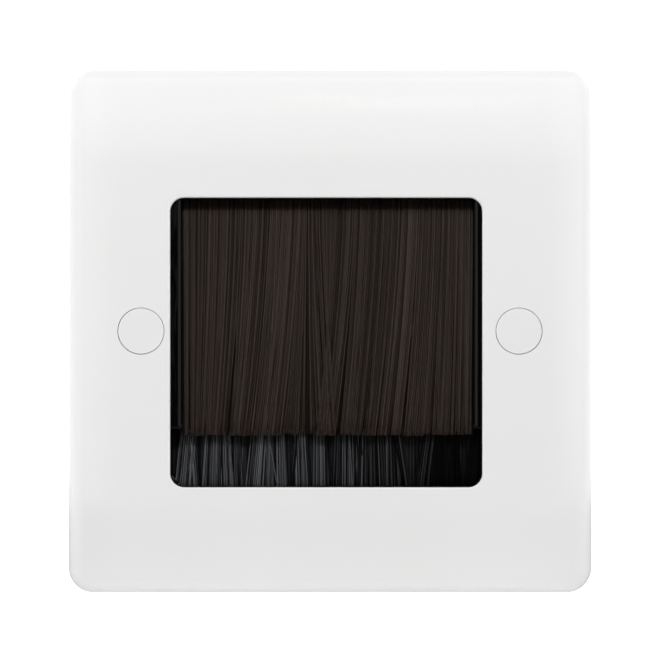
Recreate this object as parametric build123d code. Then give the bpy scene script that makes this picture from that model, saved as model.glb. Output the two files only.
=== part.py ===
from build123d import *
from math import sin, sqrt
import os

# Single-gang brush wall plate, in millimetres.
# It is drawn lying on its back: x to the right, y up the wall, z out of the wall towards the room.
# STAND turns it upright at the end: +X right, +Z up, the front facing -Y, the wall plane at y = 0.

# Faceplate moulding
plate_size = 84.2
plate_corner_r = 4.0
plate_depth = 9.0
wall_draft = 1.0
roll_reach = 14.6
roll_drop = 2.2
flat_half = plate_size / 2 - roll_reach
edge_round = 2.8
skin = 2.4
skin_back = plate_depth - skin
rim_wall = 2.6
rib_thickness = 1.4
rib_setback = 1.0
rib_clearance = 2.2
side_rib_pitch = 16.0
end_rib_pitch = 20.0

# Opening in the faceplate, a little low and to the left of the middle
opening_w = 49.8
opening_h = 46.2
opening_x = -0.6
opening_y = -1.83
opening_r = 2.2
opening_edge_r = 0.3
lip_thickness = 0.8
lip_back = plate_depth - lip_thickness
rebate = 0.45
rebate_fit = 0.10
rim_show = 0.15
opening_top = opening_y + opening_h / 2
opening_bottom = opening_y - opening_h / 2

# Fixing screws and their press-in caps
fixing_spacing = 60.3
pillar_r = 4.4
pillar_setback = 0.3
cap_thickness = 1.1
cap_recess_r = 3.75
cap_recess_floor = plate_depth - cap_thickness
cap_gap = 0.09
cap_edge_r = 0.12
cap_bore_r = 3.5
cap_skirt_fit = 0.05
cap_skirt_wall = 0.55
cap_skirt_length = 1.5
cap_skirt_slot = 1.2
seat_top = cap_recess_floor - 2.5
screw_clearance_r = 2.0
screw_head_r = 3.3
screw_head_raise = 0.7
screw_neck_r = 1.6
screw_shank_r = 1.75
screw_shank_start = -0.5
screw_end = -20.0
screw_slot_w = 0.9
screw_slot_depth = 1.0

# Folded metal channels that grip the brushes, and the wire in each
channel_w = 3.6
channel_depth = 5.5
channel_sheet = 0.45
channel_end_gap = 0.1
channel_tuck = 0.45
core_wire_r = 0.7

# Brush carrier behind the opening, with a cheek beside each side of the upper brush
cheek_left = 1.8
cheek_right = 1.3
window_half_w = (opening_w - cheek_left - cheek_right) / 2
carrier_x = opening_x + (cheek_left - cheek_right) / 2
carrier_margin = 1.7
carrier_half_w = opening_w / 2 + carrier_margin
carrier_corner_r = 2.0
cheek_setback = 1.6
cheek_front = plate_depth - cheek_setback
cheek_round = 0.7
cheek_end = -15.3
cheek_bead_r = 0.5
cheek_bead_length = 2.8
pillar_notch_gap = 0.3
cap_relief = 0.4
rear_step = -16.0

# Upper brush, in front, and lower brush behind it
upper_z = skin_back - 0.6 - channel_w / 2
upper_free_length = 38.7
upper_mouth = opening_top + 0.33
upper_tip = upper_mouth - upper_free_length
upper_side_gap = 0.15
upper_half_w = window_half_w - upper_side_gap
upper_channel_half_w = window_half_w + channel_tuck
brush_pitch = 3.2
lower_z = upper_z - brush_pitch
lower_x = opening_x
lower_free_length = 21.2
lower_mouth = opening_bottom - 1.27
lower_tip = lower_mouth + lower_free_length
lower_side_gap = 0.35
lower_half_w = opening_w / 2 - rim_show - lower_side_gap
lower_channel_half_w = lower_half_w + 0.5
lower_passage = 4.2
curtain_thickness = 2.4
ridge_pitch = 0.92
ridge_height = 0.3
lock_pitch = 1.35
lock_gap = 0.22
lock_gap_depth = 5.0
tip_scatter = 0.8
bristle_lean = 0.045

# The carrier's steps, round the channels; it is at its full depth only behind the plate's flat middle
carrier_full_top = flat_half - 0.2
carrier_top = upper_mouth + channel_depth + 1.5
carrier_top_front = skin_back - 0.5
carrier_foot = lower_mouth - channel_depth - 0.6
lower_body_start = 0.5 - flat_half
upper_rear = upper_z - channel_w / 2
lower_rear = lower_z - channel_w / 2
lower_body_front = lower_rear + channel_w + 1.6

# Clamp bars and their four screws
bar_height = 6.6
bar_thickness = 1.8
bar_rib_w = 2.0
bar_rib_height = 0.9
bar_rib_half_length = 24.0
upper_bar_y = carrier_top - bar_height / 2 - 0.3
lower_bar_y = carrier_foot + bar_height / 2 + 0.1
clamp_screw_x = carrier_half_w + 3.0
clamp_screw_r = 1.1
clamp_hole_r = 1.25
clamp_screw_length = 6.5
clamp_head_r = 2.0
clamp_head_height = 1.4
clamp_head_round = 0.5
clamp_cross_w = 0.55
clamp_cross_l = 2.2
clamp_cross_depth = 0.9
boss_r = 2.4
ear_thickness = 2.0
boss_root = skin_back + 0.4
pilot_extra = 0.3

STAND = Rot(90, 0, 0)
fixing_x = fixing_spacing / 2


def wobble(n):
    """A value from 0 to 1 that jumps about from one n to the next, for hair-like irregularity."""
    value = abs(sin(12.9898 * n + 4.1)) * 437.585
    return value - int(value)


def rounded_block(w, h, r, z0, z1, x=0.0, y=0.0):
    """A w by h block with corner radius r, centred on x, y, from z0 to z1."""
    return extrude(Pos(x, y, z0) * RectangleRounded(w, h, r), z1 - z0)


def block(x0, x1, y0, y1, z0, z1):
    """A box between two places on each axis, given in either order."""
    middle = Pos((x0 + x1) / 2, (y0 + y1) / 2, (z0 + z1) / 2)
    return middle * Box(abs(x1 - x0), abs(y1 - y0), abs(z1 - z0))


def post(x, y, r, z0, z1):
    """A round post or bore along z."""
    return Pos(x, y, (z0 + z1) / 2) * Cylinder(r, z1 - z0)


def rolled_profile(depth, roll_r, half):
    """The plate from its side: flat in the middle, rolling off above and below in a wide arc."""

    def height(y):
        return depth - roll_r + sqrt(roll_r ** 2 - (y - flat_half) ** 2)

    middle = (flat_half + half) / 2
    outline = Polyline((-half, height(half)), (-half, -1), (half, -1), (half, height(half)))
    outline += ThreePointArc((half, height(half)), (middle, height(middle)), (flat_half, depth))
    outline += Line((flat_half, depth), (-flat_half, depth))
    outline += ThreePointArc((-flat_half, depth), (-middle, height(middle)), (-half, height(half)))
    return Plane.YZ * make_face(outline)


def cross_recess(x, y, z, deeper):
    """The cross in a clamp screw's head, sunk from its rear face at z towards the front."""
    long_arm = block(x - clamp_cross_l / 2, x + clamp_cross_l / 2,
                     y - clamp_cross_w / 2, y + clamp_cross_w / 2, z - 0.1, z + deeper)
    tall_arm = block(x - clamp_cross_w / 2, x + clamp_cross_w / 2,
                     y - clamp_cross_l / 2, y + clamp_cross_l / 2, z - 0.1, z + deeper)
    return long_arm + tall_arm


# The faceplate: a drafted square block under the rolled profile, rounded over and hollowed from behind
roll_r = (roll_reach ** 2 + roll_drop ** 2) / (2 * roll_drop)
outer_profile = rolled_profile(plate_depth, roll_r, plate_size / 2 + 1)
plate_outline = RectangleRounded(plate_size, plate_size, plate_corner_r)
slab = extrude(plate_outline, plate_depth + 1, taper=wall_draft)
slab &= extrude(outer_profile, plate_size, both=True)
outer_edge = [e for e in slab.edges()
              if e.center().Z > plate_depth - roll_drop - 0.3
              and max(abs(e.center().X), abs(e.center().Y)) > plate_size / 2 - plate_corner_r / 2]
slab = fillet(outer_edge, edge_round)
cavity_size = plate_size - 2 * rim_wall
cavity = rounded_block(cavity_size, cavity_size, plate_corner_r - rim_wall, -1, plate_depth - 1)
inner_profile = rolled_profile(plate_depth - skin, roll_r - skin, plate_size / 2)
cavity &= extrude(inner_profile, plate_size, both=True)
faceplate = slab - cavity

opening = rounded_block(opening_w, opening_h, opening_r, 0.0, plate_depth + 1, opening_x, opening_y)
faceplate -= opening
front_rim = [e for e in faceplate.edges()
             if abs(e.center().Z - plate_depth) < 0.01
             and abs(e.center().X - opening_x) < opening_w / 2 + 0.1
             and abs(e.center().Y - opening_y) < opening_h / 2 + 0.1]
faceplate = fillet(front_rim, opening_edge_r)


def grown_opening(grow, z0, z1):
    """The opening's outline, larger by grow all round."""
    return rounded_block(opening_w + 2 * grow, opening_h + 2 * grow, opening_r + grow,
                         z0, z1, opening_x, opening_y)


faceplate -= grown_opening(rebate, 0, lip_back)

for side in (-1, 1):
    pillar = post(side * fixing_x, 0, pillar_r, pillar_setback, skin_back + 0.5)
    # the pillar stops at the edge of the rebate, so the carrier's rim still seats
    pillar -= grown_opening(rebate, 0, plate_depth)
    faceplate += pillar

# stiffening ribs from the rim towards the carrier
rib_root = cavity_size / 2 + 0.3
rib_free_end = rib_clearance - carrier_foot
rib_top = skin_back + 0.2
rib_half = rib_thickness / 2
for side in (-1, 1):
    near = side * rib_free_end
    far = side * rib_root
    for row in (-1, 0, 1):
        y = row * side_rib_pitch
        x = row * end_rib_pitch
        faceplate += block(near, far, y - rib_half, y + rib_half, rib_setback, rib_top)
        faceplate += block(x - rib_half, x + rib_half, near, far, rib_setback, rib_top)

# bosses that take the clamp screws
clamp_rows = ((upper_bar_y, upper_rear), (lower_bar_y, lower_rear))
for y, rear in clamp_rows:
    for side in (-1, 1):
        faceplate += post(side * clamp_screw_x, y, boss_r, rear + ear_thickness, boss_root)
        pilot_end = rear - bar_thickness + clamp_screw_length + pilot_extra
        faceplate -= post(side * clamp_screw_x, y, clamp_screw_r, rear, pilot_end)

# stepped and countersunk fixing holes
for side in (-1, 1):
    x = side * fixing_x
    faceplate -= post(x, 0, cap_recess_r, cap_recess_floor, plate_depth + 1)
    faceplate -= post(x, 0, cap_bore_r, seat_top, cap_recess_floor + 0.1)
    cone_height = cap_bore_r - screw_clearance_r
    faceplate -= Pos(x, 0, seat_top - cone_height / 2) * Cone(screw_clearance_r, cap_bore_r, cone_height)
    faceplate -= post(x, 0, screw_clearance_r, -1.0, seat_top)


def screw_cap(x):
    """A flush round cap with a slotted skirt that presses into the bore over the screw."""
    disc_r = cap_recess_r - cap_gap
    disc = post(x, 0, disc_r, cap_recess_floor, plate_depth)
    top_edge = [e for e in disc.edges() if abs(e.center().Z - plate_depth) < 0.01]
    disc = fillet(top_edge, cap_edge_r)
    skirt_r = cap_bore_r - cap_skirt_fit
    skirt_end = cap_recess_floor - cap_skirt_length
    skirt = post(x, 0, skirt_r, skirt_end, cap_recess_floor)
    skirt -= post(x, 0, skirt_r - cap_skirt_wall, skirt_end - 1, cap_recess_floor)
    slot = cap_skirt_slot / 2
    skirt -= block(x - cap_bore_r, x + cap_bore_r, -slot, slot, skirt_end - 1, cap_recess_floor)
    skirt -= block(x - slot, x + slot, -cap_bore_r, cap_bore_r, skirt_end - 1, cap_recess_floor)
    return disc + skirt


def fixing_screw(x):
    """A raised countersunk screw with a slotted head, seated in the faceplate's pillar."""
    head_z = seat_top - (cap_bore_r - screw_head_r)
    cone_height = screw_head_r - screw_neck_r
    head = Pos(x, 0, head_z - cone_height / 2) * Cone(screw_neck_r, screw_head_r, cone_height)
    ball_r = (screw_head_r ** 2 + screw_head_raise ** 2) / (2 * screw_head_raise)
    crown = Pos(x, 0, head_z + screw_head_raise - ball_r) * Sphere(ball_r)
    crown &= post(x, 0, screw_head_r, head_z, head_z + screw_head_raise + 0.1)
    neck = post(x, 0, screw_neck_r, screw_shank_start, head_z - cone_height)
    shank = post(x, 0, screw_shank_r, screw_end, screw_shank_start)
    screw = head + crown + neck + shank
    tip = [e for e in screw.edges() if abs(e.center().Z - screw_end) < 0.01]
    screw = chamfer(tip, 0.4)
    slot_floor = head_z + screw_head_raise - screw_slot_depth
    slot = screw_slot_w / 2
    return screw - block(x - cap_bore_r, x + cap_bore_r, -slot, slot, slot_floor, head_z + 2)


# The brush carrier: stepped slabs behind the skin, a rim that shows inside the opening, and four ears
rim_grow = rebate - rebate_fit


def carrier_slab(foot, top, rear, front):
    """A slab of the carrier's full width between two heights and two depths."""
    return rounded_block(2 * carrier_half_w, top - foot, carrier_corner_r,
                         rear, front, carrier_x, (top + foot) / 2)


carrier = carrier_slab(lower_body_start, carrier_full_top, upper_rear, skin_back)
carrier += carrier_slab(0, carrier_top, upper_rear, carrier_top_front)
carrier += carrier_slab(carrier_foot, rear_step, lower_rear, lower_body_front)
carrier += grown_opening(rim_grow, skin_back - 1, lip_back)
ear_root = carrier_half_w - 0.6
for y, rear in clamp_rows:
    for side in (-1, 1):
        carrier += post(side * clamp_screw_x, y, bar_height / 2, rear, rear + ear_thickness)
        carrier += block(side * ear_root, side * clamp_screw_x,
                         y - bar_height / 2, y + bar_height / 2, rear, rear + ear_thickness)

# everything inside the rim is opened up, then the two cheeks go back in beside the upper brush
carrier -= grown_opening(-rim_show, lower_rear - 1, plate_depth)
cheeks = block(carrier_x - carrier_half_w + 1, carrier_x + carrier_half_w - 1,
               cheek_end, opening_top + 1, upper_rear, cheek_front)
cheeks -= block(carrier_x - window_half_w, carrier_x + window_half_w,
                cheek_end - 1, opening_top + 2, 0, plate_depth)
inner_edges = [e for e in cheeks.edges().filter_by(Axis.Y)
               if abs(e.center().Z - cheek_front) < 0.01
               and abs(abs(e.center().X - carrier_x) - window_half_w) < 0.01]
cheeks = fillet(inner_edges, cheek_round)
for side in (-1, 1):
    bead_x = carrier_x + side * (window_half_w + cheek_bead_length / 2)
    bead = Rot(0, 90, 0) * Cylinder(cheek_bead_r, cheek_bead_length)
    cheeks += Pos(bead_x, cheek_end, cheek_front - cheek_bead_r) * bead
carrier += cheeks & grown_opening(0, lower_rear - 1, plate_depth)

# pockets for the two folded channels, open to the rear
def rear_pocket(x, half, y0, y1, rear, z):
    """A pocket as deep as a channel at depth z, cut in from the carrier's rear face."""
    return block(x - half, x + half, y0, y1, rear - 0.1, z + channel_w / 2)


carrier -= rear_pocket(carrier_x, window_half_w, 0, upper_mouth + 0.1, upper_rear, upper_z)
carrier -= rear_pocket(carrier_x, upper_channel_half_w + channel_end_gap,
                       upper_mouth, upper_mouth + channel_depth, upper_rear, upper_z)
carrier -= rear_pocket(lower_x, lower_half_w, lower_mouth - 0.1, lower_mouth + lower_passage, lower_rear, lower_z)
carrier -= rear_pocket(lower_x, lower_channel_half_w + channel_end_gap,
                       lower_mouth - channel_depth, lower_mouth, lower_rear, lower_z)

# notches round the pillars, and room for the screw caps in the rim
notch_r = pillar_r + pillar_notch_gap
for side in (-1, 1):
    carrier -= post(side * fixing_x, 0, notch_r, lower_rear - 1, skin_back)
    carrier -= block(side * fixing_x, side * (fixing_x + carrier_half_w),
                     -notch_r, notch_r, lower_rear - 1, skin_back)
    carrier -= post(side * fixing_x, 0, cap_recess_r + cap_relief, skin_back, plate_depth)
    for y, rear in clamp_rows:
        carrier -= post(side * clamp_screw_x, y, clamp_hole_r, rear - 1, rear + ear_thickness + 1)


def clamp_bar(y, rear):
    """A bar with rounded ends and a stiffening rib that holds a channel in its pocket."""
    length = 2 * clamp_screw_x + bar_height
    bar = extrude(Pos(0, y, rear - bar_thickness) * SlotOverall(length, bar_height), bar_thickness)
    bar += block(-bar_rib_half_length, bar_rib_half_length, y - bar_rib_w / 2, y + bar_rib_w / 2,
                 rear - bar_thickness - bar_rib_height, rear - bar_thickness)
    for side in (-1, 1):
        bar -= post(side * clamp_screw_x, y, clamp_hole_r, rear - bar_thickness - 1, rear + 1)
    return bar


def clamp_screw(x, y, rear):
    """A small cross-head screw through a bar and an ear into the faceplate's boss."""
    face = rear - bar_thickness
    head = post(x, y, clamp_head_r, face - clamp_head_height, face)
    top = [e for e in head.edges() if abs(e.center().Z - face + clamp_head_height) < 0.01]
    head = fillet(top, clamp_head_round)
    screw = head + post(x, y, clamp_screw_r, face, face + clamp_screw_length)
    tip = [e for e in screw.edges() if abs(e.center().Z - face - clamp_screw_length) < 0.01]
    screw = chamfer(tip, 0.4)
    return screw - cross_recess(x, y, face - clamp_head_height, clamp_cross_depth)


def channel_section(z, mouth, up, r, depth):
    """The profile of a folded channel or of what fills it, as seen from its end."""
    root = mouth + up * (depth - r)
    straight = block(-1, 1, mouth, root, z - r, z + r)
    rounded = Pos(0, root, z) * Rot(0, 90, 0) * Cylinder(r, 2)
    return straight + rounded


def along(section, x, half):
    """Stretches a 2 mm wide section to a strip of the given half width about x."""
    face = section.faces().sort_by(Axis.X)[0]
    return extrude(Pos(x - half + 1, 0, 0) * face, 2 * half, dir=(1, 0, 0))


def folded_channel(x, z, mouth, up, half):
    """Sheet metal folded round the brush's root, open at the mouth."""
    outer = along(channel_section(z, mouth, up, channel_w / 2, channel_depth), x, half)
    hollow = channel_section(z, mouth, up, channel_w / 2 - channel_sheet, channel_depth - channel_sheet)
    return outer - along(hollow, x, half)


def core_wire(x, z, mouth, up, half):
    """The wire that the bristles are folded round, in the middle of the channel's curve."""
    wire_y = mouth + up * (channel_depth - channel_w / 2)
    return Pos(x, wire_y, z) * Rot(0, 90, 0) * Cylinder(core_wire_r, 2 * half)


def ridged_face(x, z, half, seed):
    """The curtain seen from its tips: two rows of rounded-off ridges, one for each face."""
    count = int(2 * half / ridge_pitch)
    front, back = [], []
    for n in range(count + 1):
        px = x - half + 2 * half * n / count
        dip = ridge_height * (0.35 + 0.65 * wobble(n + seed))
        crest = z + curtain_thickness / 2
        front.append((px, crest - dip))
        back.append((px, 2 * z - crest + ridge_height * (0.35 + 0.65 * wobble(n + seed + 500))))
        if n < count:
            quarter = 2 * half / count / 4
            front.append((px + quarter, crest - 0.15 * dip))
            front.append((px + 3 * quarter, crest - 0.05 * dip))
            back.append((px + 2 * quarter, 2 * z - crest))
    return Plane.XZ * make_face(Polyline(*front, *reversed(back), close=True))


def fringe_outline(x, half, root, tip, up, seed):
    """The curtain seen from the front: straight sides, and locks that end at uneven heights."""
    points = [(x - half, root)]
    count = int(2 * half / lock_pitch)
    left = x - half
    for n in range(count):
        right = x - half + 2 * half * (n + 1) / count
        end = tip - up * tip_scatter * (wobble(n + seed) - 0.5)
        points.append((left, end + up * 0.35))
        points.append((left + 0.35 * (right - left), end))
        points.append((right - lock_gap - 0.1, end + up * 0.2 * wobble(2 * n + seed)))
        if n < count - 1:
            depth = lock_gap_depth * (0.25 + 0.75 * wobble(3 * n + seed))
            lean = up * bristle_lean * depth
            points.append((right - lock_gap, end + up * 0.5))
            points.append((right - lock_gap / 2 + lean, end + up * depth))
        left = right
    points.append((x + half, tip + up * 0.6))
    points.append((x + half, root))
    return points


def bristles(x, z, mouth, up, tip, half, seed):
    """One brush: the folded root inside the channel and the hanging or standing curtain."""
    inner_r = channel_w / 2 - channel_sheet
    root = along(channel_section(z, mouth, up, inner_r, channel_depth - channel_sheet), x, half)
    root -= core_wire(x, z, mouth, up, half)
    start = mouth + up * 0.6
    length = abs(start - tip) + 2
    # wide enough that the leaning ridges still reach both straight sides
    spare = bristle_lean * length + 1
    ridges = Pos(up * bristle_lean * length / 2, start, 0) * ridged_face(x, z, half + spare, seed)
    ridges = extrude(ridges, length, dir=(-up * bristle_lean, -up, 0))
    outline = make_face(Polyline(*fringe_outline(x, half, start, tip, up, seed), close=True))
    curtain = ridges & extrude(Pos(0, 0, z - 3) * outline, 6)
    return root + curtain


parts = {
    "faceplate": faceplate,
    "screw_cap_left": screw_cap(-fixing_x),
    "screw_cap_right": screw_cap(fixing_x),
    "fixing_screw_left": fixing_screw(-fixing_x),
    "fixing_screw_right": fixing_screw(fixing_x),
    "brush_carrier": carrier,
    "upper_clamp_bar": clamp_bar(upper_bar_y, upper_rear),
    "lower_clamp_bar": clamp_bar(lower_bar_y, lower_rear),
    "upper_channel": folded_channel(carrier_x, upper_z, upper_mouth, 1, upper_channel_half_w),
    "upper_core_wire": core_wire(carrier_x, upper_z, upper_mouth, 1, upper_channel_half_w),
    "upper_bristles": bristles(carrier_x, upper_z, upper_mouth, 1, upper_tip, upper_half_w, 11),
    "lower_channel": folded_channel(lower_x, lower_z, lower_mouth, -1, lower_channel_half_w),
    "lower_core_wire": core_wire(lower_x, lower_z, lower_mouth, -1, lower_channel_half_w),
    "lower_bristles": bristles(lower_x, lower_z, lower_mouth, -1, lower_tip, lower_half_w, 47),
}
number = 1
for y, rear in clamp_rows:
    for side in (-1, 1):
        parts[f"clamp_screw_{number}"] = clamp_screw(side * clamp_screw_x, y, rear)
        number += 1

os.makedirs("parts", exist_ok=True)
for node, shape in parts.items():
    export_step(STAND * shape, f"parts/{node}.step")
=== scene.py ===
import math

import bmesh
import bpy
import numpy as np
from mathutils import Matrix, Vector


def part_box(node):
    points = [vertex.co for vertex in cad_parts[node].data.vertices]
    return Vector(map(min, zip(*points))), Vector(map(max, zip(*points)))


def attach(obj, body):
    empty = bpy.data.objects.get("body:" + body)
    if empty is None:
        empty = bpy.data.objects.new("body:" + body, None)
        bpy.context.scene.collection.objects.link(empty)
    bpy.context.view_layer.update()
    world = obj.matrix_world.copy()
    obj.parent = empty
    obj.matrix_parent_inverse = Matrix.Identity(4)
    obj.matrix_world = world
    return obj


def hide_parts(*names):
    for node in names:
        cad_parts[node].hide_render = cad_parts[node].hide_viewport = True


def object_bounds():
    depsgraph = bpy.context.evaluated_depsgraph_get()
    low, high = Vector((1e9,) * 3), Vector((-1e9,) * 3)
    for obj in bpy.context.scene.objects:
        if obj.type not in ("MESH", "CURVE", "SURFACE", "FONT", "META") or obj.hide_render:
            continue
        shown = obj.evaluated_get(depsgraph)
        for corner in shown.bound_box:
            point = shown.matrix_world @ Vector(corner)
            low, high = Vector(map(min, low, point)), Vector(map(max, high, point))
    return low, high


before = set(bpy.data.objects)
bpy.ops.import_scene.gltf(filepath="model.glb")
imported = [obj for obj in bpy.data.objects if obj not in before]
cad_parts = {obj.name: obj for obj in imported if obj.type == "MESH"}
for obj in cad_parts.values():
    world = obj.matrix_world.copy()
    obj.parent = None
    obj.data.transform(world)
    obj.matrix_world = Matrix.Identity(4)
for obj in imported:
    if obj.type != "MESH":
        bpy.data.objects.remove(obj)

cad_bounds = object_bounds()

# Everything is in metres, in the frame's axes: +X right, +Z up, the plate's front faces -Y.
MM = 0.001
ROOT = "root"
WHITE = (1, 1, 1, 1)

# The plate's front falls away very slightly towards both sides.
PLATE_HALF = float(cad_bounds[1][0])
SIDE_REACH = 9.0 * MM
SIDE_DROP = 0.7 * MM

# Where the mix node keeps its colours
MIX_FIRST = 6
MIX_SECOND = 7
MIX_RESULT = 2


def node_box(name):
    low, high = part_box(name)
    return np.array(low), np.array(high)


def scaled(colour, gain):
    return tuple(channel * gain for channel in colour)


def new_material(name, base, roughness, metallic=0.0, specular=0.5):
    mat = bpy.data.materials.new(name)
    mat.use_nodes = True
    shader = shader_of(mat)
    shader.inputs["Base Color"].default_value = (*base, 1.0)
    shader.inputs["Roughness"].default_value = roughness
    shader.inputs["Metallic"].default_value = metallic
    shader.inputs["Specular IOR Level"].default_value = specular
    return mat


def shader_of(mat):
    return mat.node_tree.nodes["Principled BSDF"]


def noise(mat, scale, detail=3.0, stretch=(1.0, 1.0, 1.0), seed=0.0):
    """Noise in the object's own space; scale is in features per metre, stretch is a factor on each axis."""
    nodes, links = mat.node_tree.nodes, mat.node_tree.links
    where = nodes.new("ShaderNodeTexCoord")
    mapping = nodes.new("ShaderNodeMapping")
    mapping.inputs["Scale"].default_value = stretch
    mapping.inputs["Location"].default_value = (seed, 0.37 * seed, -0.61 * seed)
    texture = nodes.new("ShaderNodeTexNoise")
    texture.inputs["Scale"].default_value = scale
    texture.inputs["Detail"].default_value = detail
    links.new(where.outputs["Object"], mapping.inputs["Vector"])
    links.new(mapping.outputs["Vector"], texture.inputs["Vector"])
    return texture.outputs["Fac"]


def spread(mat, factor, low, high, from_low=0.3, from_high=0.7):
    """Maps a factor to the range low..high."""
    node = mat.node_tree.nodes.new("ShaderNodeMapRange")
    node.inputs["From Min"].default_value = from_low
    node.inputs["From Max"].default_value = from_high
    node.inputs["To Min"].default_value = low
    node.inputs["To Max"].default_value = high
    mat.node_tree.links.new(factor, node.inputs["Value"])
    return node.outputs["Result"]


def blend_colours(mat, factor, first, second):
    """Mixes two colours, each a tuple or the output of another node."""
    node = mat.node_tree.nodes.new("ShaderNodeMix")
    node.data_type = "RGBA"
    mat.node_tree.links.new(factor, node.inputs["Factor"])
    for socket, value in ((node.inputs[MIX_FIRST], first), (node.inputs[MIX_SECOND], second)):
        if isinstance(value, tuple):
            socket.default_value = (*value, 1.0)
        else:
            mat.node_tree.links.new(value, socket)
    return node.outputs[MIX_RESULT]


def clouded(mat, clouds, first, second):
    """The base colour drifts between two colours with a noise."""
    plug(mat, blend_colours(mat, spread(mat, clouds, 0.0, 1.0), first, second), "Base Color")


def plug(mat, output, name):
    mat.node_tree.links.new(output, shader_of(mat).inputs[name])


def bump(mat, factor, strength, distance, under=None):
    """A bump on the shader, on top of another bump where one is given."""
    node = mat.node_tree.nodes.new("ShaderNodeBump")
    node.inputs["Strength"].default_value = strength
    node.inputs["Distance"].default_value = distance
    mat.node_tree.links.new(factor, node.inputs["Height"])
    if under is not None:
        mat.node_tree.links.new(under, node.inputs["Normal"])
    plug(mat, node.outputs["Normal"], "Normal")
    return node.outputs["Normal"]


def side_fall(mat, flat, edge):
    """A height that is 0 over the middle and falls to -1 at both sides, ever more steeply."""
    nodes, links = mat.node_tree.nodes, mat.node_tree.links
    where = nodes.new("ShaderNodeTexCoord")
    axes = nodes.new("ShaderNodeSeparateXYZ")
    links.new(where.outputs["Object"], axes.inputs["Vector"])
    away = nodes.new("ShaderNodeMath")
    away.operation = "ABSOLUTE"
    links.new(axes.outputs["X"], away.inputs[0])
    share = spread(mat, away.outputs["Value"], 0.0, 1.0, flat, edge)
    square = nodes.new("ShaderNodeMath")
    square.operation = "MULTIPLY"
    links.new(share, square.inputs[0])
    links.new(share, square.inputs[1])
    return spread(mat, square.outputs["Value"], 0.0, -1.0, 0.0, 1.0)


def white_moulding(name, tone):
    """Polished white urea: near-even colour, a trace of orange peel and uneven polish."""
    mat = new_material(name, (tone, tone, tone), 0.12)
    clouds = noise(mat, scale=28.0, detail=2.0)
    clouded(mat, clouds, (tone * 0.985, tone * 0.985, tone * 0.98), (tone, tone, tone))
    polish = noise(mat, scale=160.0, detail=4.0, seed=3.1)
    plug(mat, spread(mat, polish, low=0.09, high=0.15), "Roughness")
    sides = bump(mat, side_fall(mat, PLATE_HALF - SIDE_REACH, PLATE_HALF), strength=1.0, distance=SIDE_DROP)
    orange_peel = noise(mat, scale=700.0, detail=2.0, seed=7.7)
    bump(mat, orange_peel, strength=0.05, distance=0.03 * MM, under=sides)
    return mat


def black_moulding(name, base, rough_low, rough_high, grain, waviness, specular):
    """Injection-moulded black plastic, from glossy to finely grained, with shallow flow waves along Z."""
    mat = new_material(name, (base, base, base), rough_high, specular=specular)
    clouds = noise(mat, scale=90.0, detail=3.0)
    clouded(mat, clouds, (base * 0.7, base * 0.7, base * 0.7), (base * 1.4, base * 1.4, base * 1.38))
    polish = noise(mat, scale=420.0, detail=4.0, seed=5.2)
    plug(mat, spread(mat, polish, rough_low, rough_high), "Roughness")
    flow = noise(mat, scale=420.0, detail=2.0, stretch=(1.0, 1.0, 0.2), seed=2.2)
    waves = bump(mat, flow, strength=waviness, distance=0.2 * MM)
    bump(mat, noise(mat, scale=2500.0, detail=3.0, seed=1.3), strength=grain, distance=0.04 * MM, under=waves)
    return mat


def plated_steel(name, base, roughness, streak_axis):
    """Plated steel: cloudy tone, with fine drawing lines along one axis."""
    mat = new_material(name, base, roughness, metallic=1.0)
    stretch = [1.0, 1.0, 1.0]
    stretch[streak_axis] = 0.06
    lines = noise(mat, scale=3200.0, detail=3.0, stretch=tuple(stretch))
    clouded(mat, noise(mat, scale=260.0, detail=4.0, seed=9.4), scaled(base, 0.72), base)
    plug(mat, spread(mat, lines, roughness * 0.75, roughness * 1.3), "Roughness")
    bump(mat, lines, strength=0.12, distance=0.02 * MM)
    return mat


# Painted light: the filaments are painted paler over this last part of their length, to offset the shade near
# the tips.
PAINTED_TIP_LIGHT_START = 0.87


def filament_material(name, dark, light, sheen_tone, painted_tip_gain, roughness, specular):
    """Drawn nylon; its mesh carries red = the filament's tone, green = the way along it, blue = its lock."""
    mat = new_material(name, light, roughness, specular=specular)
    nodes, links = mat.node_tree.nodes, mat.node_tree.links
    carried = nodes.new("ShaderNodeAttribute")
    carried.attribute_name = "filament"
    tags = nodes.new("ShaderNodeSeparateColor")
    links.new(carried.outputs["Color"], tags.inputs["Color"])
    tone, along, lock = tags.outputs["Red"], tags.outputs["Green"], tags.outputs["Blue"]
    own = blend_colours(mat, tone, dark, light)
    grouped = blend_colours(mat, lock, own, sheen_tone)
    # painted light: near the tips the colour is painted paler by a gain, to offset the shade there
    painted_tip_colour = blend_colours(mat, tone, scaled(dark, painted_tip_gain), scaled(light, painted_tip_gain))
    painted_tip_share = spread(mat, along, 0.0, 1.0, PAINTED_TIP_LIGHT_START, 1.0)
    plug(mat, blend_colours(mat, painted_tip_share, grouped, painted_tip_colour), "Base Color")
    plug(mat, spread(mat, tone, roughness * 1.15, roughness * 0.8, 0.0, 1.0), "Roughness")
    drawn = noise(mat, scale=6000.0, detail=2.0, stretch=(1.0, 1.0, 0.08))
    bump(mat, drawn, strength=0.15, distance=0.02 * MM)
    return mat


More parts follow.
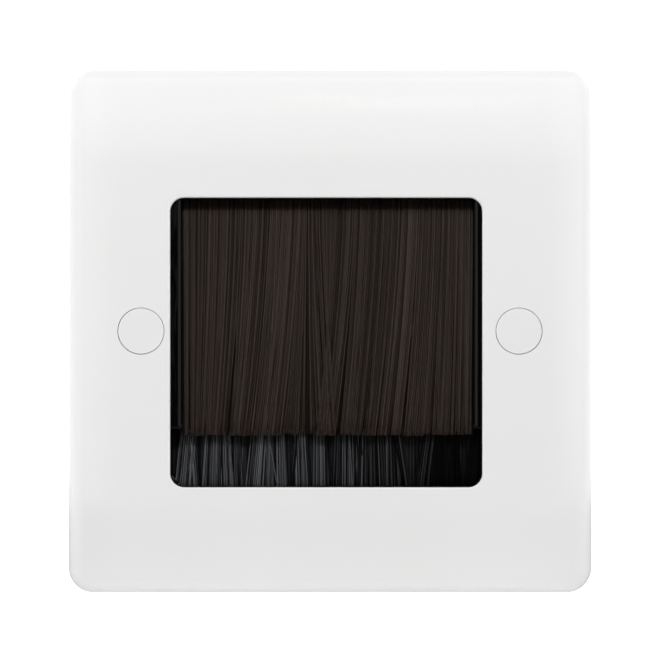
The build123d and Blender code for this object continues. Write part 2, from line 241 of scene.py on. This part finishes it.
plate_white = white_moulding("plate_white_urea", tone=0.86)
cap_white = white_moulding("cap_white_urea", tone=0.85)
carrier_black = black_moulding("carrier_black_gloss", base=0.0012, rough_low=0.04, rough_high=0.09,
                               grain=0.015, waviness=0.4, specular=0.14)
bar_black = black_moulding("bar_black_grain", base=0.02, rough_low=0.42, rough_high=0.6,
                           grain=0.35, waviness=0.1, specular=0.5)
channel_steel = plated_steel("channel_galvanised", (0.55, 0.55, 0.56), roughness=0.38, streak_axis=0)
wire_steel = plated_steel("wire_drawn", (0.5, 0.5, 0.51), roughness=0.3, streak_axis=0)
screw_steel = plated_steel("screw_zinc_yellow", (0.72, 0.69, 0.6), roughness=0.28, streak_axis=1)
clamp_screw_steel = plated_steel("clamp_screw_zinc", (0.68, 0.68, 0.69), roughness=0.3, streak_axis=1)
upper_nylon = filament_material("bristle_brown_nylon", dark=(0.0025, 0.0018, 0.0015),
                                light=(0.055, 0.0415, 0.0345), sheen_tone=(0.026, 0.0195, 0.016),
                                painted_tip_gain=2.3, roughness=0.45, specular=0.12)
lower_nylon = filament_material("bristle_black_nylon", dark=(0.0008, 0.0008, 0.0009),
                                light=(0.146, 0.149, 0.16), sheen_tone=(0.008, 0.008, 0.009),
                                painted_tip_gain=1.0, roughness=0.4, specular=0.05)

node_materials = {
    "faceplate": plate_white,
    "screw_cap_left": cap_white, "screw_cap_right": cap_white,
    "brush_carrier": carrier_black,
    "upper_clamp_bar": bar_black, "lower_clamp_bar": bar_black,
    "upper_channel": channel_steel, "lower_channel": channel_steel,
    "upper_core_wire": wire_steel, "lower_core_wire": wire_steel,
    "clamp_screw_1": clamp_screw_steel, "clamp_screw_2": clamp_screw_steel,
    "clamp_screw_3": clamp_screw_steel, "clamp_screw_4": clamp_screw_steel,
}
for node, mat in node_materials.items():
    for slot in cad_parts[node].material_slots:
        slot.material = mat


def dress(piece, node):
    """Lets a piece stand for a CAD node: hides the node and hangs the piece under the root."""
    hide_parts(node)
    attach(piece, ROOT)


def mesh_object(name, vertices, faces, mat):
    mesh = bpy.data.meshes.new(name)
    mesh.from_pydata(vertices, [], faces)
    mesh.materials.append(mat)
    mesh.update()
    piece = bpy.data.objects.new(name, mesh)
    bpy.context.scene.collection.objects.link(piece)
    return piece


def tubes(name, paths, radii, tags, mat, sides=5):
    """Closed tapering tubes along near-vertical paths of shape (count, rings, 3), as one mesh."""
    count, rings = paths.shape[:2]
    turn = np.arange(sides) * 2 * math.pi / sides
    ring = np.stack([np.cos(turn), np.sin(turn), np.zeros(sides)], axis=1)
    vertices = paths[:, :, None, :] + radii[:, :, None, None] * ring[None, None, :, :]
    index = np.arange(count * rings * sides).reshape(count, rings, sides)
    after = np.roll(index, -1, axis=2)
    downward = paths[0, -1, 2] < paths[0, 0, 2]
    walls = [index[:, :-1], after[:, :-1], after[:, 1:], index[:, 1:]]
    ends = [index[:, 0, ::-1], index[:, -1]]
    if downward:
        walls.reverse()
        ends = [index[:, 0], index[:, -1, ::-1]]
    faces = np.stack(walls, axis=-1).reshape(-1, 4).tolist()
    for end in ends:
        faces.extend(end.tolist())
    piece = mesh_object(name, vertices.reshape(-1, 3).tolist(), faces, mat)
    colours = np.ones((count, rings, sides, 4), dtype=np.float32)
    colours[..., 0] = tags["tone"][:, None, None]
    colours[..., 1] = np.linspace(0.0, 1.0, rings)[None, :, None]
    colours[..., 2] = tags["lock"][:, None, None]
    carried = piece.data.color_attributes.new("filament", "FLOAT_COLOR", "POINT")
    carried.data.foreach_set("color", colours.reshape(-1))
    piece.data.shade_smooth()
    return piece


# What both brushes have in common: below 1, FACE_CROWDING puts more filaments near the two faces, where
# they are seen; the waves are in radians from root to tip; the tips narrow over the end of their length.
FACE_CROWDING = 0.6
SIDE_WAVES = 5.0
DEPTH_WAVES = 4.0
TIP_FROM = 0.97
TIP_WIDTH = 0.35
TAPER = 0.12
# how dark the slit filaments are painted: painted shade between strands
SLIT_SHADE_TONE = 0.15
LOCK_WIDTHS = (0.45, 1.6)
NARROWEST_LAST_LOCK = 0.4
THICKNESS = (0.8, 1.15)


def lock_edges(rng, left, right, mean):
    """Uneven boundaries that split a width into locks of about the mean width."""
    widths = mean * rng.uniform(*LOCK_WIDTHS, size=int(2 * (right - left) / mean) + 4)
    edges = left + np.concatenate([[0.0], np.cumsum(widths)])
    edges = edges[edges < right - NARROWEST_LAST_LOCK * mean]
    return np.append(edges, right)


def gather(x, edges):
    """For each x: its lock's number, the lock's middle and half its width."""
    lock = np.clip(np.searchsorted(edges, x, side="right") - 1, 0, len(edges) - 2)
    middle = (edges[lock] + edges[lock + 1]) / 2
    half = (edges[lock + 1] - edges[lock]) / 2
    return lock, middle, half


def make_brush(name, rng, spec, mat):
    """Fills one brush with filaments gathered into locks and strands, and returns its pieces."""
    count = spec["count"]
    left, right = spec["left"], spec["right"]
    x0 = left + (np.arange(count) + rng.uniform(0, 1, count)) / count * (right - left)
    depth = rng.uniform(-1, 1, count)
    depth = np.sign(depth) * np.abs(depth) ** FACE_CROWDING
    locks = lock_edges(rng, left, right, spec["lock"])
    strands = lock_edges(rng, left, right, spec["strand"])
    lock, lock_mid, lock_half = gather(x0, locks)
    strand, strand_mid, _ = gather(x0, strands)
    lock_lean = rng.normal(0, spec["lean_scatter"], len(locks))
    lock_push = rng.uniform(-1, 1, len(locks))
    strand_push = rng.uniform(-1, 1, len(strands))
    lock_end = rng.uniform(-1, 1, len(locks))
    lock_tone = rng.uniform(0, 1, len(locks))
    strand_tone = rng.uniform(0, 1, len(strands))

    # sideways: the brush's own sway, and the pull towards the middle of the lock and the strand
    s = np.linspace(0, 1, spec["rings"])[None, :]
    ease = s ** spec["bend"]
    sway = spec["sway"](x0)[:, None] + lock_lean[lock][:, None]
    pull = (spec["lock_pull"] * (lock_mid - x0) + spec["strand_pull"] * (strand_mid - x0))[:, None]
    x = x0[:, None] + (sway + pull) * ease
    wave = rng.uniform(0, 2 * math.pi, (2, count))[:, :, None]
    swing = rng.uniform(0.2, 1.0, count)[:, None] * spec["wave"]
    x = x + swing * np.sin(wave[0] + SIDE_WAVES * s) * s
    loose = (rng.uniform(0, 1, count) < spec["loose"])[:, None]
    x = x + loose * rng.normal(0, spec["stray"], count)[:, None] * ease
    x = np.clip(x, spec["wall_left"], spec["wall_right"])

    # depth: each lock is a shallow ridge on both faces
    off = np.abs(x0 - lock_mid) / lock_half
    bulge = ((1 - off ** 2) * 2 - 1)[:, None]
    y = (spec["middle"] - spec["half_depth"] * depth)[:, None]
    face = np.sign(depth)[:, None]
    ridge = spec["bulge"] * bulge + spec["strand_push"] * strand_push[strand][:, None]
    y = y - face * ridge * ease ** 0.5
    y = y - spec["lock_push"] * lock_push[lock][:, None] * ease
    y = y + swing * np.cos(wave[1] + DEPTH_WAVES * s) * s
    y = np.clip(y, spec["front_limit"], spec["rear_limit"])

    shorter = spec["tip_scatter"] * rng.uniform(0, 1, count) ** 2
    end = spec["tip"] + spec["up"] * (spec["lock_scatter"] * lock_end[lock] - shorter)
    z = spec["root"] + (end[:, None] - spec["root"]) * s
    paths = np.stack([x, y, np.broadcast_to(z, x.shape)], axis=-1)

    radius = spec["radius"] * rng.uniform(*THICKNESS, count)[:, None]
    radii = radius * np.where(s > TIP_FROM, TIP_WIDTH, 1.0 - TAPER * s)
    own = spec["own_share"]
    tone = own * rng.uniform(0, 1, count) + (1 - own) * strand_tone[strand]
    # the last term is painted shade across the brush: it darkens the tone by place
    tone = np.clip(tone + spec["lock_spread"] * (lock_tone[lock] - 0.5) + spec["painted_shade_across"](x0), 0, 1)
    # a share of the filaments is painted dark: painted shade that reads as a dark slit between strands
    tone = np.where(rng.uniform(0, 1, count) < spec["slit_shade_share"], SLIT_SHADE_TONE * tone, tone)
    tags = {"tone": tone ** spec["contrast"], "lock": lock_tone[lock] * spec["lock_tone"]}
    pieces = []
    for part, chosen in (("front", depth > 0), ("rear", depth <= 0)):
        kept = {key: value[chosen] for key, value in tags.items()}
        pieces.append(tubes(f"{name}_{part}", paths[chosen], radii[chosen], kept, mat))
    return pieces


# The imported middle of a brush: the pitch of its filaments, their radius as a share of it, how far
# they stop short of the tip, and how pale the palest are; they are painted near black, painted shade inside
# the brush
HEART_PITCH = 0.26 * MM
HEART_RADIUS = 0.95 * HEART_PITCH
HEART_RINGS = 5
HEART_SHORT = 1.0 * MM
HEART_SHADE_TONE = 0.14


def packed_heart(name, rng, spec, mat):
    """The tightly packed inner filaments, which let no light through; their tone is painted near black, as
    painted shade.
    """
    count = int((spec["right"] - spec["left"]) / HEART_PITCH)
    x = np.linspace(spec["left"], spec["right"], count)
    s = np.linspace(0, 1, HEART_RINGS)[None, :]
    x = x[:, None] + spec["heart_sway"](x)[:, None] * s ** spec["bend"]
    inset = spec["heart_inset"]
    x = np.clip(x, spec["wall_left"] + inset, spec["wall_right"] - inset)
    end = spec["tip"] - spec["up"] * HEART_SHORT
    z = np.broadcast_to(spec["root"] + (end - spec["root"]) * s, x.shape)
    y = np.full_like(x, spec["middle"])
    radii = np.full_like(x, HEART_RADIUS)
    # painted shade: the heart's tones stay near the dark end
    tags = {"tone": rng.uniform(0.0, HEART_SHADE_TONE, count), "lock": np.zeros(count)}
    return tubes(name, np.stack([x, y, z], axis=-1), radii, tags, mat)


# Where each brush ends at its sides: the upper one between the cheeks, the lower one behind the rim
UPPER_WALLS = (-23.72 * MM, 23.02 * MM)
LOWER_WALLS = (-25.6 * MM, 24.4 * MM)
ROOT_INSET = 0.1 * MM
WALL_GAP = 0.12 * MM
CHANNEL_GRIP = 0.8 * MM

# The upper brush's tips are combed to the left, but part from each other a little left of the middle.
COMBED = -3.0 * MM
LEFT_CURL = 12 * MM
RIGHT_CURL = 8 * MM
PARTING = -2.0 * MM
PARTING_HALF = 1.9 * MM
PARTED = 1.9 * MM


def left_sway(x):
    """Sideways travel of a tip to the left, less near both walls."""
    left_ease = np.clip((x - UPPER_WALLS[0]) / LEFT_CURL, 0, 1)
    right_ease = np.clip((UPPER_WALLS[1] - x) / RIGHT_CURL, 0, 1)
    return COMBED * left_ease * right_ease


def upper_sway(x):
    """The same travel, but to the right at the parting."""
    in_parting = np.clip(1.5 - np.abs(x - PARTING) / PARTING_HALF, 0, 1)
    return left_sway(x) * (1 - in_parting) + PARTED * in_parting


def no_sway(x):
    return np.zeros_like(x)


def even_shade(x):
    return np.zeros_like(x)


def lower_painted_shade(x):
    """Painted shade: the lower brush is painted palest at the left, even over the middle and dark at its
    right end, where less light falls.
    """
    past_left = np.clip((x + 10 * MM) / (7 * MM), 0, 1)
    at_right = np.clip((x - 9 * MM) / (12 * MM), 0, 1)
    return 0.2 - 0.16 * past_left - 0.75 * at_right


upper_mouth = node_box("upper_channel")[0][2]
lower_mouth = node_box("lower_channel")[1][2]
upper_spec = {
    "count": 3000, "rings": 8, "radius": 0.09 * MM,
    "left": UPPER_WALLS[0] + ROOT_INSET, "right": UPPER_WALLS[1] - ROOT_INSET,
    "wall_left": UPPER_WALLS[0] + WALL_GAP, "wall_right": UPPER_WALLS[1] - WALL_GAP,
    "root": upper_mouth + CHANNEL_GRIP, "tip": -16.8 * MM, "up": -1,
    "lock": 1.9 * MM, "strand": 0.34 * MM, "lean_scatter": 0.2 * MM, "bend": 1.55,
    "lock_pull": 0.12, "strand_pull": 0.30,
    "wave": 0.07 * MM, "loose": 0.06, "stray": 0.9 * MM,
    "middle": -4.2 * MM, "half_depth": 1.15 * MM, "front_limit": -5.75 * MM, "rear_limit": -2.7 * MM,
    "bulge": 0.1 * MM, "strand_push": 0.1 * MM, "lock_push": 0.12 * MM,
    "lock_scatter": 0.12 * MM, "tip_scatter": 0.8 * MM,
    "sway": upper_sway, "heart_sway": left_sway, "heart_inset": 0.04 * MM, "painted_shade_across": even_shade,
    "lock_spread": 0.1, "lock_tone": 0.2, "own_share": 0.8, "slit_shade_share": 0.2, "contrast": 0.7,
}
lower_spec = {
    "count": 3000, "rings": 7, "radius": 0.09 * MM,
    "left": LOWER_WALLS[0] + ROOT_INSET, "right": LOWER_WALLS[1] - ROOT_INSET,
    "wall_left": LOWER_WALLS[0] + WALL_GAP, "wall_right": LOWER_WALLS[1] - WALL_GAP,
    "root": lower_mouth - CHANNEL_GRIP, "tip": -5.0 * MM, "up": 1,
    "lock": 2.3 * MM, "strand": 0.36 * MM, "lean_scatter": 1.5 * MM, "bend": 1.0,
    "lock_pull": 0.35, "strand_pull": 0.5,
    "wave": 0.08 * MM, "loose": 0.08, "stray": 1.2 * MM,
    "middle": -1.0 * MM, "half_depth": 1.15 * MM, "front_limit": -2.5 * MM, "rear_limit": 0.5 * MM,
    "bulge": 0.3 * MM, "strand_push": 0.15 * MM, "lock_push": 0.2 * MM,
    "lock_scatter": 0.5 * MM, "tip_scatter": 1.5 * MM,
    "sway": no_sway, "heart_sway": no_sway, "heart_inset": 0.13 * MM, "painted_shade_across": lower_painted_shade,
    "lock_spread": 0.12, "lock_tone": 0.15, "own_share": 0.88, "slit_shade_share": 0.1, "contrast": 3.2,
}
brushes = (
    ("upper", upper_spec, upper_nylon, "bristle_brown", 21, 5),
    ("lower", lower_spec, lower_nylon, "bristle_black", 8, 6),
)
for place, spec, nylon, finish, seed, heart_seed in brushes:
    pieces = make_brush(f"{place}_filaments", np.random.default_rng(seed), spec, nylon)
    heart_rng = np.random.default_rng(heart_seed)
    pieces.append(packed_heart(f"{place}_filaments_heart", heart_rng, spec, nylon))
    for piece in pieces:
        dress(piece, f"{place}_bristles")


# The fixing screws' rolled thread, and how finely it is drawn
THREAD_START = 0.5 * MM
THREAD_MAJOR = 1.75 * MM
THREAD_MINOR = 1.4 * MM
THREAD_PITCH = 0.6 * MM
THREAD_SHARPNESS = 2.6
THREAD_RUN_OUT = 1.2 * THREAD_PITCH
POINT_LENGTH = 0.5 * MM
POINT_SLOPE = 0.5
AROUND = 28
ROWS_PER_TURN = 7
WELD = 0.001 * MM
SHARP_ANGLE = math.radians(35)


def thread_radius(y, turn, end):
    """The thread's radius at a place along the screw and a share of a turn round it."""
    phase = (y / THREAD_PITCH + turn) % 1.0
    crest = max(0.0, 1.0 - abs(phase - 0.5) * THREAD_SHARPNESS)
    run_in = min(1.0, (y - THREAD_START) / THREAD_PITCH, (end - y) / THREAD_RUN_OUT + 0.2)
    radius = THREAD_MINOR + (THREAD_MAJOR - THREAD_MINOR) * crest * max(0.0, run_in)
    if end - y < POINT_LENGTH:
        radius -= POINT_SLOPE * (POINT_LENGTH - (end - y))
    return radius


def threaded_screw(name, node, mat):
    """The CAD screw's head and neck, with a rolled thread in place of its plain shank."""
    low, high = node_box(node)
    middle = (low + high) / 2
    thread_end = high[1]
    screw = bmesh.new()
    screw.from_mesh(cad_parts[node].data)
    bmesh.ops.remove_doubles(screw, verts=screw.verts, dist=WELD)
    cut = bmesh.ops.bisect_plane(screw, geom=screw.verts[:] + screw.edges[:] + screw.faces[:],
                                 plane_co=(0, THREAD_START, 0), plane_no=(0, 1, 0), clear_outer=True)
    rim = [e for e in cut["geom_cut"] if isinstance(e, bmesh.types.BMEdge)]
    bmesh.ops.holes_fill(screw, edges=rim)
    rows = int((thread_end - THREAD_START) / (THREAD_PITCH / ROWS_PER_TURN))
    rings = []
    for row in range(rows + 1):
        y = THREAD_START + (thread_end - THREAD_START) * row / rows
        ring = []
        for n in range(AROUND):
            angle = 2 * math.pi * n / AROUND
            radius = thread_radius(y, n / AROUND, thread_end)
            x = middle[0] + radius * math.cos(angle)
            z = middle[2] + radius * math.sin(angle)
            ring.append(screw.verts.new((x, y, z)))
        rings.append(ring)
    for first, second in zip(rings, rings[1:]):
        for n in range(AROUND):
            m = (n + 1) % AROUND
            screw.faces.new((first[n], second[n], second[m], first[m]))
    screw.faces.new(rings[0])
    screw.faces.new(list(reversed(rings[-1])))
    bmesh.ops.recalc_face_normals(screw, faces=screw.faces[:])
    mesh = bpy.data.meshes.new(name)
    screw.to_mesh(mesh)
    screw.free()
    mesh.materials.clear()
    mesh.materials.append(mat)
    mesh.shade_smooth()
    mesh.set_sharp_from_angle(angle=SHARP_ANGLE)
    piece = bpy.data.objects.new(name, mesh)
    bpy.context.scene.collection.objects.link(piece)
    dress(piece, node)


for side in ("left", "right"):
    threaded_screw(f"threaded_screw_{side}", f"fixing_screw_{side}", screw_steel)


scene = bpy.context.scene
scene.view_settings.view_transform = "Standard"

# A pale floor well below the plate, which the camera sees near white
FLOOR_DROP = 200 * MM
FLOOR_HALF = 3
FLOOR_TONE = 0.36
FLOOR_GLOW = 0.9
floor_z = float(cad_bounds[0][2]) - FLOOR_DROP
floor_mat = new_material("studio_floor", (FLOOR_TONE, FLOOR_TONE, FLOOR_TONE), 0.7)
floor_tree = floor_mat.node_tree
ray = floor_tree.nodes.new("ShaderNodeLightPath")
glow = floor_tree.nodes.new("ShaderNodeMath")
glow.operation = "MULTIPLY"
glow.inputs[1].default_value = FLOOR_GLOW
floor_tree.links.new(ray.outputs["Is Camera Ray"], glow.inputs[0])
shader_of(floor_mat).inputs["Emission Color"].default_value = WHITE
plug(floor_mat, glow.outputs["Value"], "Emission Strength")
corners = ((-1, -1), (1, -1), (1, 1), (-1, 1))
floor_corners = [(FLOOR_HALF * x, FLOOR_HALF * y, floor_z) for x, y in corners]
mesh_object("studio_floor", floor_corners, [(0, 1, 2, 3)], floor_mat)

# The studio is pale behind and beside the object and dim round the camera, with a glowing
# panel above the camera that brightens with height.
world = bpy.data.worlds.new("studio")
scene.world = world
world.use_nodes = True
sky = world.node_tree
direction = sky.nodes.new("ShaderNodeTexCoord")
axes = sky.nodes.new("ShaderNodeSeparateXYZ")
sky.links.new(direction.outputs["Generated"], axes.inputs["Vector"])
seen = sky.nodes.new("ShaderNodeLightPath")


def ramp(source, start, end, low, high):
    """Eases from low to high as the source goes from start to end."""
    node = sky.nodes.new("ShaderNodeMapRange")
    node.interpolation_type = "SMOOTHSTEP"
    node.inputs["From Min"].default_value = start
    node.inputs["From Max"].default_value = end
    node.inputs["To Min"].default_value = low
    node.inputs["To Max"].default_value = high
    sky.links.new(source, node.inputs["Value"])
    return node.outputs["Result"]


def calculate(operation, *values):
    node = sky.nodes.new("ShaderNodeMath")
    node.operation = operation
    for socket, value in zip(node.inputs, values):
        sky.links.new(value, socket)
    return node.outputs["Value"]


def product(*factors):
    result = factors[0]
    for factor in factors[1:]:
        result = calculate("MULTIPLY", result, factor)
    return result


across, ahead, above = axes.outputs["X"], axes.outputs["Y"], axes.outputs["Z"]
beside = calculate("ABSOLUTE", across)
surround = product(ramp(ahead, start=-0.45, end=0.05, low=0.02, high=1.8),
                   ramp(above, start=0.3, end=0.9, low=1.0, high=0.35))

# a pale card to the left of the camera, which the left cheek mirrors
left_card = product(ramp(across, start=-0.065, end=-0.035, low=0.5, high=0.0),
                    ramp(across, start=-0.3, end=-0.2, low=0.0, high=1.0),
                    ramp(ahead, start=-0.9, end=-0.8, low=1.0, high=0.0))
# pale cards at both sides, which the plate's falling sides mirror
side_cards = product(ramp(beside, start=0.12, end=0.3, low=0.0, high=1.5),
                     ramp(ahead, start=-0.5, end=-0.2, low=1.0, high=0.0))
cards = product(calculate("ADD", left_card, side_cards), seen.outputs["Is Glossy Ray"])

PANEL_FOOT = 0.085
PANEL_FOOT_SOFTNESS = 0.012
panel = product(ramp(above, start=PANEL_FOOT, end=PANEL_FOOT + PANEL_FOOT_SOFTNESS, low=0.0, high=1.0),
                ramp(above, start=PANEL_FOOT, end=0.72, low=0.65, high=1.25),
                ramp(beside, start=0.18, end=0.38, low=1.0, high=0.0),
                ramp(ahead, start=-0.5, end=-0.3, low=1.0, high=0.0))

lit = calculate("ADD", calculate("ADD", surround, cards), panel)
background = sky.nodes["Background"]
background.inputs["Color"].default_value = WHITE
sky.links.new(calculate("MAXIMUM", lit, seen.outputs["Is Camera Ray"]), background.inputs["Strength"])


def area_light(name, azimuth, elevation, distance, width, height, power, target=(0, 0, 0)):
    """A rectangular lamp aimed at the target; azimuth 0 is in front of the plate, + to the right."""
    data = bpy.data.lights.new(name, "AREA")
    data.shape = "RECTANGLE"
    data.size = width
    data.size_y = height
    data.energy = power
    turn, rise = math.radians(azimuth), math.radians(elevation)
    away = Vector((math.sin(turn) * math.cos(rise), -math.cos(turn) * math.cos(rise), math.sin(rise)))
    place = Vector(target) + distance * away
    lamp = bpy.data.objects.new(name, data)
    lamp.location = place
    lamp.rotation_euler = (Vector(target) - place).to_track_quat("-Z", "Y").to_euler()
    lamp.visible_glossy = False
    scene.collection.objects.link(lamp)


area_light("key", azimuth=3, elevation=28, distance=0.75, width=0.105, height=0.07, power=3.46)
area_light("under_fill", azimuth=0, elevation=-90, distance=0.2, width=0.3, height=0.02, power=0.22,
           target=(0, 4 * MM, 0))
area_light("left_strip", azimuth=-86, elevation=0, distance=1.0, width=0.4, height=1.0, power=2.5)
area_light("right_strip", azimuth=86, elevation=0, distance=1.0, width=0.4, height=1.0, power=1.1)

# The camera looks straight at the plate; FRONT_SCALE is in pixels per metre on the plate's front.
IMAGE = 665
FRONT_SCALE = 6.269 / MM
FRONT_Y = float(cad_bounds[0][1])
CAMERA_DISTANCE = 450 * MM
CAMERA_X = 0.40 * MM
CAMERA_Z = -0.22 * MM
camera_data = bpy.data.cameras.new("camera")
camera_data.lens = camera_data.sensor_width * CAMERA_DISTANCE / (IMAGE / FRONT_SCALE)
camera = bpy.data.objects.new("camera", camera_data)
camera.location = (CAMERA_X, FRONT_Y - CAMERA_DISTANCE, CAMERA_Z)
camera.rotation_euler = (math.radians(90), 0, 0)
scene.collection.objects.link(camera)
scene.camera = camera
